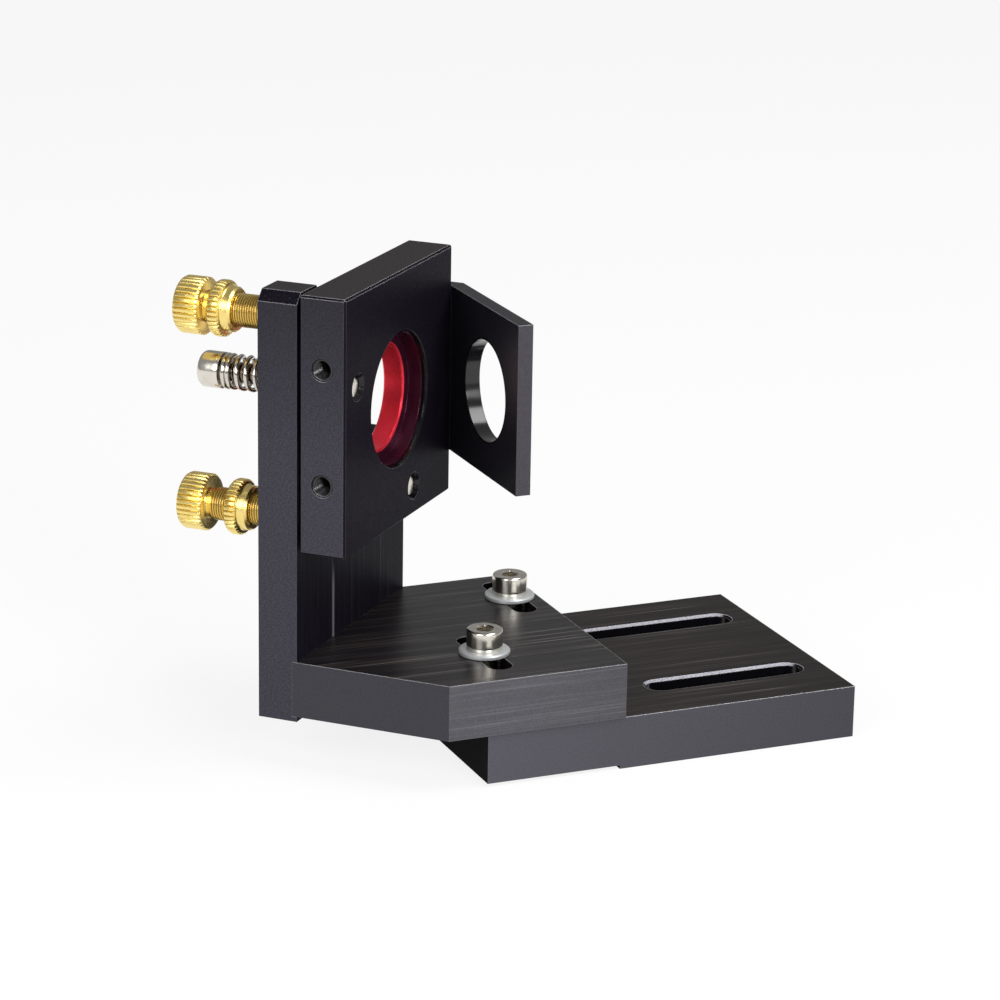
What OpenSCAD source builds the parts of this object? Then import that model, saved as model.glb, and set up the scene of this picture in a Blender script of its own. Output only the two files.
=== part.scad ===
// Kinematic mirror mount for a 25.4 mm mirror at 45 degrees.
// A mirror plate hangs on three steel balls (cone, groove and flat seats) in
// front of an L-shaped upright. Three knurled brass screws with lock nuts set
// the balls, and two sprung screws pull the plate back onto them. The upright
// stands across the cut corner of a base plate, which is clamped by two
// screws on a slotted lower plate.
// Origin: centre of the lower plate's underside. +X runs along that plate.
// Frame "mirror axes": local x is the mirror's normal, out of its front,
// local y runs along the upright from its near edge to its far edge.

/* [Lower plate] */
// Length of the lower plate
lower_l = 78; // [74:0.5:85]
// Width of the lower plate
lower_w = 60; // [58:0.5:64]
// Thickness of the lower plate at its pad
lower_t = 10.5; // [9:0.1:12]
// Length of the stretch whose underside is relieved
relief_l = 27.5; // [20:0.5:32]
// Depth of that relief
relief_h = 0.7; // [0.4:0.1:1]
// Length of the mounting slots, end to end
lower_slot_l = 33.5; // [28:0.5:34]
// Width of the mounting slots
lower_slot_w = 5.5; // [5.2:0.1:6.5]
// Distance between the two mounting slots
lower_slot_pitch = 32; // [30:0.5:36]
// Wall between the slots and the plate's right-hand end
lower_slot_wall = 5; // [4:0.5:8]

/* [Base plate] */
// Length of the base plate's side, square to the upright
base_side = 31.5; // [30:0.5:34]
// Length of the base plate's front edge
base_front = 36.5; // [35:0.5:40]
// Thickness of the base plate
base_t = 11; // [10:0.5:12]
// How far the base plate's front stands proud of the lower plate
base_proud = 0.5; // [0:0.1:1.5]
// How far the upright's near corner stands out past the lower plate's end
overhang = 30.5; // [29:0.5:32]
// Length of the clamping slots, end to end
base_slot_l = 20; // [16:0.5:22]
// Width of the clamping slots
base_slot_w = 5; // [4.6:0.1:5.6]
// Distance between the clamp screws along the lower plate
clamp_dx = 17.5; // [16:0.5:19]
// Distance between the clamp screws across the lower plate
clamp_dy = 29; // [26:0.5:30]
// Distance of the near clamp screw from the base plate's right-hand end
clamp_inset = 23.2; // [22:0.2:24]
// Distance of the near clamp screw from the base plate's front
clamp_front = 15.2; // [14:0.2:17]

/* [Upright] */
// Width of the upright and of the mirror plate
plate_w = 50; // [48:0.5:54]
// Thickness of the upright
upright_t = 8; // [7:0.5:10]
// Height of the upright above the base plate's top
upright_h = 71.8; // [70:0.2:76]
// Width of the upright's arm, and height of its bar behind the mirror plate
arm_w = 11.5; // [11:0.5:13]
// Depth of the groove that takes the base plate, and height of the lip below
groove = 1; // [0.5:0.1:1.5]
// Chamfer at the arm's outer top corner
arm_chamfer = 2; // [1:0.5:3]
// Chamfer at the arm's inner top corner
arm_inner_chamfer = 3; // [1:0.5:4]

/* [Mirror plate] */
// Height of the mirror plate
mirror_h = 50; // [48:0.5:50]
// Thickness of the mirror plate
mirror_t = 9.4; // [9:0.1:10]
// Gap between the upright and the mirror plate at rest
plate_gap = 0.5; // [0.4:0.1:0.6]
// Opening in the mirror plate's front
front_bore_d = 26; // [25.8:0.1:26.4]
// Bore behind that lip, which holds the mirror cell
cell_bore_d = 30; // [29:0.5:31]
// Thickness of the front lip
lip_t = 1; // [0.8:0.1:1.5]
// Distance of the adjusters from the plate's edges
adjuster_edge = 5.75; // [5.5:0.25:6.5]
// Distance of the sprung screws from the corner adjuster
spring_offset = 26.4; // [25:0.1:26.4]
// Distance between the tapped holes in each side face
side_hole_pitch = 22.4; // [22.4:0.2:24]

/* [Mirror cell] */
// Seat for the mirror
seat_d = 25.5; // [25.45:0.05:25.6]
// Depth of the mirror's seat
seat_depth = 2.8; // [2.5:0.1:3.2]
// Clear bore behind the seat
clear_d = 21; // [19:0.5:22]
// Length of the clear bore
clear_l = 4.3; // [3.5:0.1:4.5]

/* [Adjusters] */
// Thread of the adjusters
thread_d = 6.4; // [6:0.1:6.5]
// Knob diameter
knob_d = 11; // [10:0.1:11.5]
// Knob length
knob_l = 5.2; // [4:0.1:6]
// Overall length of an adjuster
adjuster_l = 26.7; // [25:0.1:28]
// Diameter of the neck between the knob and the thread
neck_d = 5.6; // [4:0.1:5.8]
// Knurled flange of a lock nut: diameter
nut_d = 10.8; // [10:0.1:11.2]
// Knurled flange of a lock nut: length
nut_flange = 2.6; // [2:0.1:3]
// Plain collar of a lock nut: diameter
collar_d = 8.6; // [8:0.1:9]
// Plain collar of a lock nut: length
collar_l = 1.9; // [1:0.1:2.2]
// Ball in an adjuster's tip
ball_d = 4; // [3.5:0.5:4]
// Flutes around a knob or a lock nut
knurls = 34; // [24:2:40]

/* [Sprung screws] */
// Distance of the screw heads behind the upright
head_gap = 9.7; // [8:0.1:11]
// Length of the sprung screws under the head
spring_screw_l = 27; // [24:1:28]
// Height of the sprung screws' heads
spring_head_h = 4.5; // [4:0.1:5]
// Wire of the springs
wire_d = 0.95; // [0.7:0.05:1]
// Outer diameter of the springs
spring_d = 7; // [6.6:0.1:7.2]
// Working turns of a spring
spring_turns = 3.5; // [3:0.5:5]

/* [Aperture bracket] */
// Length of the leg with the aperture
aperture_leg = 33.5; // [31:0.5:35]
// Height of the bracket
aperture_h = 33.5; // [32:0.5:34]
// Thickness of the bracket
aperture_t = 3; // [2.5:0.1:3.5]
// Aperture diameter
aperture_d = 20; // [16:0.5:22]

/* [Hidden] */
$fn = 64;
eps = 0.01;
slip = 0.05;                // radial running clearance
fine_edge = 0.3;            // chamfer round bores and the cell
slot_edge = 0.5;            // chamfer round the mounting slots
plate_edge = 0.4;           // chamfer along the mirror plate's edges

// Places in the lower plate's frame
base_top = lower_t + base_t;
origin_x = -lower_l / 2 - overhang;         // near corner of the upright's front
origin_y = -lower_w / 2 - base_proud + base_side / sqrt(2);
base_x1 = origin_x + base_side / sqrt(2) + base_front;
base_y0 = origin_y - base_side / sqrt(2);
base_y1 = origin_y + plate_w / sqrt(2);
clamp_near = [base_x1 - clamp_inset, base_y0 + clamp_front];
clamp_far = clamp_near + [clamp_dx, clamp_dy];
lower_slot_x = lower_l / 2 - lower_slot_wall - lower_slot_l / 2;

// Places in the mirror's axes, where z stays the height above the underside
mirror_x0 = plate_gap;
mirror_x1 = plate_gap + mirror_t;
mirror_mid = (mirror_x0 + mirror_x1) / 2;
mirror_z1 = base_top + upright_h;
mirror_z0 = mirror_z1 - mirror_h;
centre = [plate_w / 2, mirror_z1 - mirror_h / 2];
corner_at = [adjuster_edge, mirror_z0 + adjuster_edge];
top_at = [adjuster_edge, mirror_z1 - adjuster_edge];
far_at = [plate_w - adjuster_edge, mirror_z0 + adjuster_edge];
side_spring_at = corner_at + [0, spring_offset];
bottom_spring_at = corner_at + [spring_offset, 0];
flat_ball_x = 0;            // ball centres, the flat seat's and the other two
deep_ball_x = 0.4;
tip_past_ball = 0.5;        // an adjuster's end stands this far past the ball's centre
apex = deep_ball_x + (ball_d / 2 + slip) * sqrt(2);     // tip of the cone and of the groove
seat_disc_d = 6;
seat_disc_t = 3.5;
relief_bore_d = 7.5;        // counterbore round an adjuster's tip
cone_face = deep_ball_x + 0.9;
flat_face = flat_ball_x + ball_d / 2 + slip;
nut_l = nut_flange + collar_l;
nut_gap_top = 6.7;          // the lock nuts' collars stand this far behind the upright
nut_gap_low = 3.4;

// Fasteners
m4_d = 4;
m4_head_d = 7;
m4_head_h = 4;
m4_hex = 3;
m4_mouth = 0.7;             // chamfer where a screw's end shows in the mirror plate's front
m4_free_d = 4.5;            // clearance hole
thread_depth = 9;           // of the holes in the mirror plate's sides
clamp_screw_l = 18;
washer_d = 10;
washer_t = 1;
spring_hole_d = 5.6;
spring_pocket = 1.5;        // depth of the springs' counterbore in the upright
upright_screw_z = base_top - base_t / 2;
upright_screw_edge = 12;
upright_screw_at = [upright_screw_edge, plate_w - upright_screw_edge];
upright_screw_l = 16;
head_sink = m4_head_h + 0.2;    // the upright screws' heads lie this deep in its back
bracket_screw_l = 8;

module mirror_axes() {
    translate([origin_x, origin_y, 0]) rotate([0, 0, -45]) children();
}

// A bore or shaft along the mirror's normal, from x0 to x1 at [y, z]
module along(at, x0, x1, d, d2 = 0) {
    translate([x0, at[0], at[1]]) rotate([0, 90, 0])
        cylinder(h = x1 - x0, d1 = d, d2 = d2 > 0 ? d2 : d);
}

// Flat slot with round ends, its length along X
module slot_outline(length, width) {
    square([length - width, width], center = true);
    for (side = [-1, 1]) translate([side * (length - width) / 2, 0]) circle(d = width);
}

// Slot through a plate, its top edge chamfered
module chamfered_slot(length, width, thickness) {
    edge = slot_edge;
    straight = length - width;
    translate([0, 0, -eps]) linear_extrude(thickness + 2 * eps) slot_outline(length, width);
    for (side = [-1, 1]) translate([side * straight / 2, 0, thickness - edge])
        cylinder(h = edge + eps, d1 = width, d2 = width + 2 * edge);
    translate([straight / 2, 0, thickness]) rotate([0, -90, 0]) linear_extrude(straight)
        polygon([[eps, -width / 2 - edge - eps], [-edge, -width / 2],
            [-edge, width / 2], [eps, width / 2 + edge + eps]]);
}

// Cap screw: head on z = 0 upwards, shank downwards
module cap_screw(length, head_h = m4_head_h, rim = 0.4) {
    edge = 0.4;
    difference() {
        rotate_extrude() polygon([[0, -length], [m4_d / 2 - edge, -length], [m4_d / 2, -length + edge],
            [m4_d / 2, 0], [m4_head_d / 2, 0], [m4_head_d / 2, head_h - rim],
            [m4_head_d / 2 - rim, head_h], [0, head_h]]);
        translate([0, 0, head_h / 2]) cylinder(h = head_h, d = m4_hex / cos(30), $fn = 6);
    }
}

// Outline with V flutes, whose crests reach past d so that a turned outline can trim them
module knurled(d, depth) {
    crest = 0.08;
    polygon([for (i = [0 : 2 * knurls - 1]) let (r = d / 2 + crest - (i % 2) * depth, a = i * 180 / knurls)
        [r * cos(a), r * sin(a)]]);
}

module lower_plate() {
    color("dimgray") difference() {
        union() {
            translate([-lower_l / 2, -lower_w / 2, relief_h])
                cube([lower_l, lower_w, lower_t - relief_h]);
            translate([-lower_l / 2 + relief_l, -lower_w / 2, 0])
                cube([lower_l - relief_l, lower_w, lower_t - relief_h]);
        }
        for (side = [-1, 1]) translate([lower_slot_x, side * lower_slot_pitch / 2, 0])
            chamfered_slot(lower_slot_l, lower_slot_w, lower_t);
        for (at = [clamp_near, clamp_far]) translate([at[0], at[1], -eps])
            cylinder(h = lower_t + 2 * eps, d = m4_d);
    }
}

// Flat outline, drawn as [y, z], given thickness along the mirror's normal
module slab(x0, x1) {
    translate([x0, 0, 0]) rotate([90, 0, 90]) linear_extrude(x1 - x0) children();
}

module chamfered_square(size, edge) {
    polygon([[edge, 0], [size[0] - edge, 0], [size[0], edge], [size[0], size[1] - edge],
        [size[0] - edge, size[1]], [edge, size[1]], [0, size[1] - edge], [0, edge]]);
}

// Block with every edge chamfered: the common part of its three chamfered outlines
module chamfered_block(size, edge) {
    intersection() {
        linear_extrude(size[2]) chamfered_square([size[0], size[1]], edge);
        slab(0, size[0]) chamfered_square([size[1], size[2]], edge);
        translate([0, size[1], 0]) rotate([90, 0, 0])
            linear_extrude(size[1]) chamfered_square([size[0], size[2]], edge);
    }
}

module base_plate() {
    color("#3a3a3c") difference() {
        translate([0, 0, lower_t]) linear_extrude(base_t) difference() {
            polygon([[origin_x - groove / sqrt(2), origin_y + groove / sqrt(2)],
                [origin_x + base_side / sqrt(2), base_y0], [base_x1, base_y0], [base_x1, base_y1],
                [origin_x + plate_w / sqrt(2) - groove * sqrt(2), base_y1]]);
            for (at = [clamp_near, clamp_far]) translate(at) rotate(90)
                slot_outline(base_slot_l, base_slot_w);
        }
        mirror_axes() for (y = upright_screw_at)
            along([y, upright_screw_z], -groove - eps, upright_screw_l - 2, m4_d);
    }
}

module upright_outline() {
    top = base_top + upright_h;
    bar = mirror_z0 + arm_w;
    fillet = 3;
    polygon([[0, lower_t - groove], [plate_w, lower_t - groove], [plate_w, bar], [arm_w, bar],
        [arm_w, top - arm_inner_chamfer], [arm_w - arm_inner_chamfer, top], [arm_chamfer, top],
        [0, top - arm_chamfer]]);
    translate([arm_w, bar]) difference() {
        square(fillet);
        translate([fillet, fillet]) circle(fillet);
    }
}

module upright_plate() {
    color("#353638") mirror_axes() difference() {
        slab(-upright_t, 0) upright_outline();
        // groove for the base plate, with the lip stopped short of the lower plate
        translate([-groove, -eps, lower_t]) cube([groove + eps, plate_w + 2 * eps, base_t]);
        rotate([0, 0, 45]) translate([overhang - groove, 0, 0]) cube([lower_l, lower_w, lower_t]);
        for (at = [top_at, corner_at, far_at]) along(at, -upright_t - eps, eps, thread_d + 2 * slip);
        for (at = [side_spring_at, bottom_spring_at]) {
            along(at, -upright_t - eps, eps, spring_hole_d);
            along(at, -upright_t - eps, -upright_t + spring_pocket, spring_d + 1);
        }
        for (y = upright_screw_at) {
            along([y, upright_screw_z], -upright_t - eps, 0, m4_free_d);
            along([y, upright_screw_z], -upright_t - eps, -upright_t + head_sink, m4_head_d + 0.5);
        }
    }
}

module mirror_plate() {
    color("#2e2f31") mirror_axes() difference() {
        translate([mirror_x0, 0, mirror_z0]) chamfered_block([mirror_t, plate_w, mirror_h], plate_edge);
        // bore for the cell from behind, and the front lip with its chamfer
        along(centre, mirror_x0 - eps, mirror_x1 - lip_t, cell_bore_d);
        along(centre, mirror_x1 - lip_t - eps, mirror_x1 + eps, front_bore_d);
        countersunk(centre, front_bore_d, fine_edge);
        // hardened seats and the reliefs round the adjusters' tips
        seat_hole(top_at, flat_face);
        seat_hole(corner_at, cone_face);
        seat_hole(far_at, cone_face);
        for (at = [side_spring_at, bottom_spring_at]) {
            along(at, mirror_x0 - eps, mirror_x1 + eps, m4_d);
            countersunk(at, m4_d, m4_mouth);
        }
        for (side = [-1, 1]) {
            z = centre[1] + side * side_hole_pitch / 2;
            translate([mirror_mid, 0, z]) rotate([-90, 0, 0]) tapped_hole();
            translate([mirror_mid, plate_w, z]) rotate([90, 0, 0]) tapped_hole();
        }
    }
}

// Chamfer round a hole in the mirror plate's front
module countersunk(at, d, edge) {
    along(at, mirror_x1 - edge, mirror_x1 + eps, d, d + 2 * (edge + eps));
}

// Hole for a seat disc, with the relief round the adjuster's tip
module seat_hole(at, face) {
    along(at, mirror_x0 - eps, face, relief_bore_d);
    along(at, mirror_x0, face + seat_disc_t, seat_disc_d);
}

// Blind M4 hole into z > 0, with a countersunk mouth
module tapped_hole() {
    edge = (m4_free_d - m4_d) / 2;
    translate([0, 0, -eps]) cylinder(h = thread_depth + eps, d = m4_d);
    translate([0, 0, -eps]) cylinder(h = edge + eps, d1 = m4_free_d + 2 * eps, d2 = m4_d);
}

module mirror_cell() {
    back = mirror_x1 - lip_t - seat_depth - clear_l;
    r = cell_bore_d / 2 - slip;
    edge = fine_edge;
    color("#b81c2c") mirror_axes() translate([back, centre[0], centre[1]]) rotate([0, 90, 0])
        rotate_extrude() polygon([[clear_d / 2 + edge, 0], [r - edge, 0], [r, edge],
            [r, clear_l + seat_depth], [seat_d / 2, clear_l + seat_depth], [seat_d / 2, clear_l],
            [clear_d / 2 + edge, clear_l], [clear_d / 2, clear_l - edge], [clear_d / 2, edge]]);
}

module aperture_bracket() {
    bend = [mirror_x1, plate_w];
    along_leg = [1, -1] / sqrt(2);
    off_leg = [1, 1] / sqrt(2);
    back = mirror_x0 + 0.1;
    hole_at = bend + along_leg * plate_w / 2 / sqrt(2);
    color("#303133") mirror_axes() difference() {
        translate([0, 0, centre[1] - aperture_h / 2]) linear_extrude(aperture_h)
            polygon([[back, plate_w], bend, bend + along_leg * aperture_leg,
                bend + along_leg * aperture_leg + off_leg * aperture_t,
                bend + [aperture_t * tan(22.5), aperture_t], [back, plate_w + aperture_t]]);
        translate([hole_at[0], hole_at[1], centre[1]]) rotate([0, 90, 45])
            translate([0, 0, -eps]) cylinder(h = aperture_t + 2 * eps, d = aperture_d);
        for (side = [-1, 1])
            translate([mirror_mid, plate_w - eps, centre[1] + side * side_hole_pitch / 2])
                rotate([-90, 0, 0]) cylinder(h = aperture_t + 2 * eps, d = m4_free_d);
    }
}

// Knurled disc from z = 0 to its length, with both rims turned off
module knurled_disc(d, length) {
    rim = 0.8;
    edge = 0.4;
    depth = 0.4;
    intersection() {
        translate([0, 0, -1]) linear_extrude(length + 2) knurled(d, depth);
        rotate_extrude() polygon([[0, 0], [d / 2 - rim, 0], [d / 2 - 0.3, 0.25], [d / 2, rim],
            [d / 2, length - edge], [d / 2 - edge, length], [0, length]]);
    }
}

// Brass adjuster, knob first, whose tip holds the ball at ball_x
module adjuster(at, ball_x) {
    neck_l = 1.2;
    edge = 0.4;
    shank = adjuster_l - knob_l - neck_l;
    x0 = ball_x + tip_past_ball - adjuster_l;
    color("#c9a24a") mirror_axes() translate([x0, at[0], at[1]]) rotate([0, 90, 0]) difference() {
        union() {
            knurled_disc(knob_d, knob_l);
            translate([0, 0, knob_l - eps]) cylinder(h = neck_l + 2 * eps, d = neck_d);
            translate([0, 0, knob_l + neck_l]) rotate_extrude() polygon([[0, 0], [neck_d / 2, 0],
                [thread_d / 2, (thread_d - neck_d) / 2], [thread_d / 2, shank - edge],
                [thread_d / 2 - edge, shank], [0, shank]]);
        }
        translate([0, 0, adjuster_l - tip_past_ball - ball_d / 2 - slip])
            cylinder(h = ball_d, d = ball_d + 2 * slip);
    }
}

module lock_nut(at, x) {
    color("#c9a24a") mirror_axes() translate([x, at[0], at[1]]) rotate([0, 90, 0]) difference() {
        union() {
            knurled_disc(nut_d, nut_flange);
            cylinder(h = nut_flange + collar_l, d = collar_d);
        }
        translate([0, 0, -eps]) cylinder(h = nut_flange + collar_l + 2 * eps, d = thread_d + 2 * slip);
    }
}

module ball(at, x) {
    color("#c8c8cc") mirror_axes() translate([x, at[0], at[1]]) sphere(d = ball_d);
}

module flat_seat() {
    color("#b4b4b8") mirror_axes() along(top_at, flat_face, flat_face + seat_disc_t, seat_disc_d);
}

module cone_seat() {
    color("#b4b4b8") mirror_axes() difference() {
        along(corner_at, cone_face, cone_face + seat_disc_t, seat_disc_d);
        translate([cone_face - eps, corner_at[0], corner_at[1]]) rotate([0, 90, 0])
            cylinder(h = apex - cone_face + eps, r1 = apex - cone_face + eps, r2 = 0);
    }
}

module groove_seat() {
    half = apex - cone_face + eps;
    color("#b4b4b8") mirror_axes() difference() {
        along(far_at, cone_face, cone_face + seat_disc_t, seat_disc_d);
        translate([cone_face - eps, far_at[0] + seat_disc_d, far_at[1]]) rotate([90, 0, 0])
            linear_extrude(2 * seat_disc_d) polygon([[0, -half], [half, 0], [0, half]]);
    }
}

module spring_screw(at) {
    color("#c4c4c8") mirror_axes() translate([-upright_t - head_gap, at[0], at[1]])
        rotate([0, -90, 0]) cap_screw(spring_screw_l, spring_head_h, 0.8);
}

// Round wire swept along a helix, with closed turns at each end
module spring(at) {
    sides = 8;
    per_turn = 20;
    closed = 1.5;
    length = head_gap + spring_pocket - 2 * eps;
    pitch = (length - (1 + 2 * closed) * wire_d) / spring_turns;
    turns = spring_turns + 2 * closed;
    radius = (spring_d - wire_d) / 2;
    rings = turns * per_turn;
    function height(t) = wire_d / 2 + wire_d * min(t, closed)
        + pitch * min(max(t - closed, 0), spring_turns) + wire_d * max(t - closed - spring_turns, 0);
    points = [for (i = [0 : rings]) let (t = i / per_turn) for (j = [0 : sides - 1])
        let (a = 360 * j / sides + 22.5, r = radius + wire_d / 2 * cos(a))
        [r * cos(360 * t), r * sin(360 * t), height(t) + wire_d / 2 * sin(a)]];
    skin = [for (i = [0 : rings - 1]) for (j = [0 : sides - 1]) let (k = (j + 1) % sides)
        each [[i * sides + j, (i + 1) * sides + k, i * sides + k],
            [i * sides + j, (i + 1) * sides + j, (i + 1) * sides + k]]];
    start = [for (j = [0 : sides - 1]) j];
    end = [for (j = [sides - 1 : -1 : 0]) rings * sides + j];
    color("#a8a8ac") mirror_axes()
        translate([-upright_t - head_gap + eps, at[0], at[1]]) rotate([0, 90, 0])
            polyhedron(points, concat(skin, [start, end]), convexity = 8);
}

module clamp_screw(at) {
    color("#cfcfd2") translate([at[0], at[1], base_top + washer_t]) cap_screw(clamp_screw_l);
}

module clamp_washer(at) {
    color("#bdbdc1") translate([at[0], at[1], base_top]) difference() {
        cylinder(h = washer_t, d = washer_d);
        translate([0, 0, -eps]) cylinder(h = washer_t + 2 * eps, d = m4_d + 0.3);
    }
}

module upright_screw(y) {
    color("#2c2c2e") mirror_axes() translate([-upright_t + head_sink, y, upright_screw_z])
        rotate([0, -90, 0]) cap_screw(upright_screw_l);
}

module bracket_screw(side) {
    color("#c4c4c8") mirror_axes()
        translate([mirror_mid, plate_w + aperture_t, centre[1] + side * side_hole_pitch / 2])
        rotate([-90, 0, 0]) cap_screw(bracket_screw_l);
}

lower_plate();
base_plate();
upright_plate();
mirror_plate();
mirror_cell();
aperture_bracket();
adjuster(top_at, flat_ball_x);  // top_adjuster
adjuster(corner_at, deep_ball_x);  // corner_adjuster
adjuster(far_at, deep_ball_x);  // far_adjuster
lock_nut(top_at, -upright_t - nut_gap_top - nut_l);  // top_lock_nut
lock_nut(corner_at, -upright_t - nut_gap_low - nut_l);  // corner_lock_nut
lock_nut(far_at, -upright_t - nut_gap_low - nut_l);  // far_lock_nut
ball(top_at, flat_ball_x);  // top_ball
ball(corner_at, deep_ball_x);  // corner_ball
ball(far_at, deep_ball_x);  // far_ball
flat_seat();
cone_seat();
groove_seat();
spring_screw(side_spring_at);  // side_spring_screw
spring_screw(bottom_spring_at);  // bottom_spring_screw
spring(side_spring_at);  // side_spring
spring(bottom_spring_at);  // bottom_spring
clamp_screw(clamp_near);  // near_clamp_screw
clamp_screw(clamp_far);  // far_clamp_screw
clamp_washer(clamp_near);  // near_clamp_washer
clamp_washer(clamp_far);  // far_clamp_washer
upright_screw(upright_screw_at[0]);  // near_upright_screw
upright_screw(upright_screw_at[1]);  // far_upright_screw
bracket_screw(1);  // upper_bracket_screw
bracket_screw(-1);  // lower_bracket_screw
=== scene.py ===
"""Looks of the kinematic mirror mount: black anodised plates, a red anodised mirror cell, knurled brass
adjusters, nickel-plated screws and bright springs."""

import math

import bmesh
import bpy
from mathutils import Matrix, Vector


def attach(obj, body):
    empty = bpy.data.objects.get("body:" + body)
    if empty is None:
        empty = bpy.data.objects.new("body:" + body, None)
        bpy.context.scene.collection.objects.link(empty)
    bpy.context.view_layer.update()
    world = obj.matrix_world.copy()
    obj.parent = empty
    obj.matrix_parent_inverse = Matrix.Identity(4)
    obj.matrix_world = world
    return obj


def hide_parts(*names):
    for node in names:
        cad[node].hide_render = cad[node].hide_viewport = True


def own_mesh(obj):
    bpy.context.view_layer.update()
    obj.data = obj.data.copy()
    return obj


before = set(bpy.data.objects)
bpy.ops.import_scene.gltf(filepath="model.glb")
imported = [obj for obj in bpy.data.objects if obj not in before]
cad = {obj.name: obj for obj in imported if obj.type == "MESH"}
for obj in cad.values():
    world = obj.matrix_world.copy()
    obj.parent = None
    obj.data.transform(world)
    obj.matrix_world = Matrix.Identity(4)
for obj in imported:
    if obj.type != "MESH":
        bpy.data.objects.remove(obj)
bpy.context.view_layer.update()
scene = bpy.context.scene

MM = 0.001

# ---------------------------------------------------------------- places
# The mirror's axes in the mount's frame, both at 45 degrees: u is the mirror's normal, v runs along the
# upright.
HALF = math.sqrt(0.5)
MIRROR_AXES = Matrix(
    (
        (HALF, HALF, 0, -69.5),
        (-HALF, HALF, 0, -8.2261),
        (0, 0, 1, 0),
        (0, 0, 0, 1),
    )
)
# A turned piece is made standing on z = 0. These lay its axis along u, along v, and turn it upside down.
ALONG_U = Matrix(((0, 0, 1, 0), (1, 0, 0, 0), (0, 1, 0, 0), (0, 0, 0, 1)))
ALONG_V = Matrix(((1, 0, 0, 0), (0, 0, 1, 0), (0, -1, 0, 0), (0, 0, 0, 1)))
UPSIDE = Matrix.Rotation(math.pi, 4, "X")

# Directions in the mount's frame
UP, FRONT, RIGHT = (0.0, 0.0, 1.0), (0.0, 1.0, 0.0), (1.0, 0.0, 0.0)
ALONG_NORMAL = (HALF, -HALF, 0.0)
ALONG_UPRIGHT = (HALF, HALF, 0.0)

# Sizes of the solids that the pieces here are fitted to, in millimetres
PLATE_W = 50.0
UPRIGHT_T = 8.0
MIRROR_T, PLATE_GAP = 9.4, 0.5
CELL_SHOULDER_U = 6.1
LOWER_T, BASE_T = 10.5, 11.0
BASE_TOP = LOWER_T + BASE_T
LOWER_END = 39.0
MIRROR_TOP = 93.3
ADJUSTER_EDGE = 5.75
SPRING_OFFSET = 26.4
HEAD_GAP = 9.7
SIDE_HOLE_PITCH = 22.4
WASHER_R, WASHER_BORE_R, WASHER_T = 5.0, 2.15, 1.0
UPRIGHT_SCREW_EDGE = 12.0
BRACKET_T = 3.0

# Places on the mirror plate, as (v, z)
TOP = (ADJUSTER_EDGE, MIRROR_TOP - ADJUSTER_EDGE)
CORNER = (ADJUSTER_EDGE, MIRROR_TOP - PLATE_W + ADJUSTER_EDGE)
FAR = (PLATE_W - ADJUSTER_EDGE, CORNER[1])
SIDE_SPRING = (CORNER[0], CORNER[1] + SPRING_OFFSET)
BOTTOM_SPRING = (CORNER[0] + SPRING_OFFSET, CORNER[1])
PLATE_MIDDLE = (PLATE_W / 2, MIRROR_TOP - PLATE_W / 2)
APERTURE_MIDDLE = (-27.14, 2.45, PLATE_MIDDLE[1])
NEAR_CLAMP = (-33.926, -15.3)
FAR_CLAMP = (NEAR_CLAMP[0] + 17.5, NEAR_CLAMP[1] + 29)

# Boxes that take in the walls of the slots, as a middle and half the size
TABLE_SLOT_MIDDLES, TABLE_SLOT_HALF = ((17.25, 16.0, 5.0), (17.25, -16.0, 5.0)), (16.9, 2.9, 5.05)
CLAMP_SLOT_HALF = (2.7, 10.2, 5.3)
# Radii that take in the walls and the mouths of the bores
FRONT_BORE_R, SCREW_HOLE_R, APERTURE_R = 13.35, 2.72, 10.3


def on_mirror(u, at, lay=ALONG_U):
    """The place of a turned piece that starts u millimetres in front of the upright, at (v, z)."""
    return MIRROR_AXES @ Matrix.Translation((u, at[0], at[1])) @ lay


# ---------------------------------------------------------------- shapes, in millimetres
def turned(outline, steps=64):
    """A solid of revolution. The outline is (radius, height) from the bottom centre, or round a ring."""
    bm = bmesh.new()
    points = [bm.verts.new((r, 0, z)) for r, z in outline]
    edges = [bm.edges.new(pair) for pair in zip(points, points[1:])]
    if outline[0][0] > 0:
        edges.append(bm.edges.new((points[-1], points[0])))
    bmesh.ops.spin(
        bm,
        geom=points + edges,
        cent=(0, 0, 0),
        axis=(0, 0, 1),
        angle=math.tau,
        steps=steps,
        use_merge=True,
    )
    bmesh.ops.remove_doubles(bm, verts=bm.verts, dist=1e-4)
    return bm


def rounded(corner, radius, start, steps=4):
    """Points of a quarter round inside a corner of an outline, from angle start on."""
    cx, cz = corner
    return [
        (
            cx + radius * math.cos(math.radians(start + 90 * i / steps)),
            cz + radius * math.sin(math.radians(start + 90 * i / steps)),
        )
        for i in range(steps + 1)
    ]


FLUTE_STEPS = 8  # a rim is turned in so many steps a flute


def knurl(bm, radius, flutes, depth):
    """Presses narrow flutes along a turned rim, with broad rounded crests between them."""
    press = (0, 0, 0, 0.4, 1, 0.4, 0, 0)
    for v in bm.verts:
        r = math.hypot(v.co.x, v.co.y)
        step = round(math.atan2(v.co.y, v.co.x) / math.tau * flutes * FLUTE_STEPS) % FLUTE_STEPS
        bottom = radius - depth * press[step]
        if r > bottom:
            v.co.xy *= bottom / r


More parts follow.
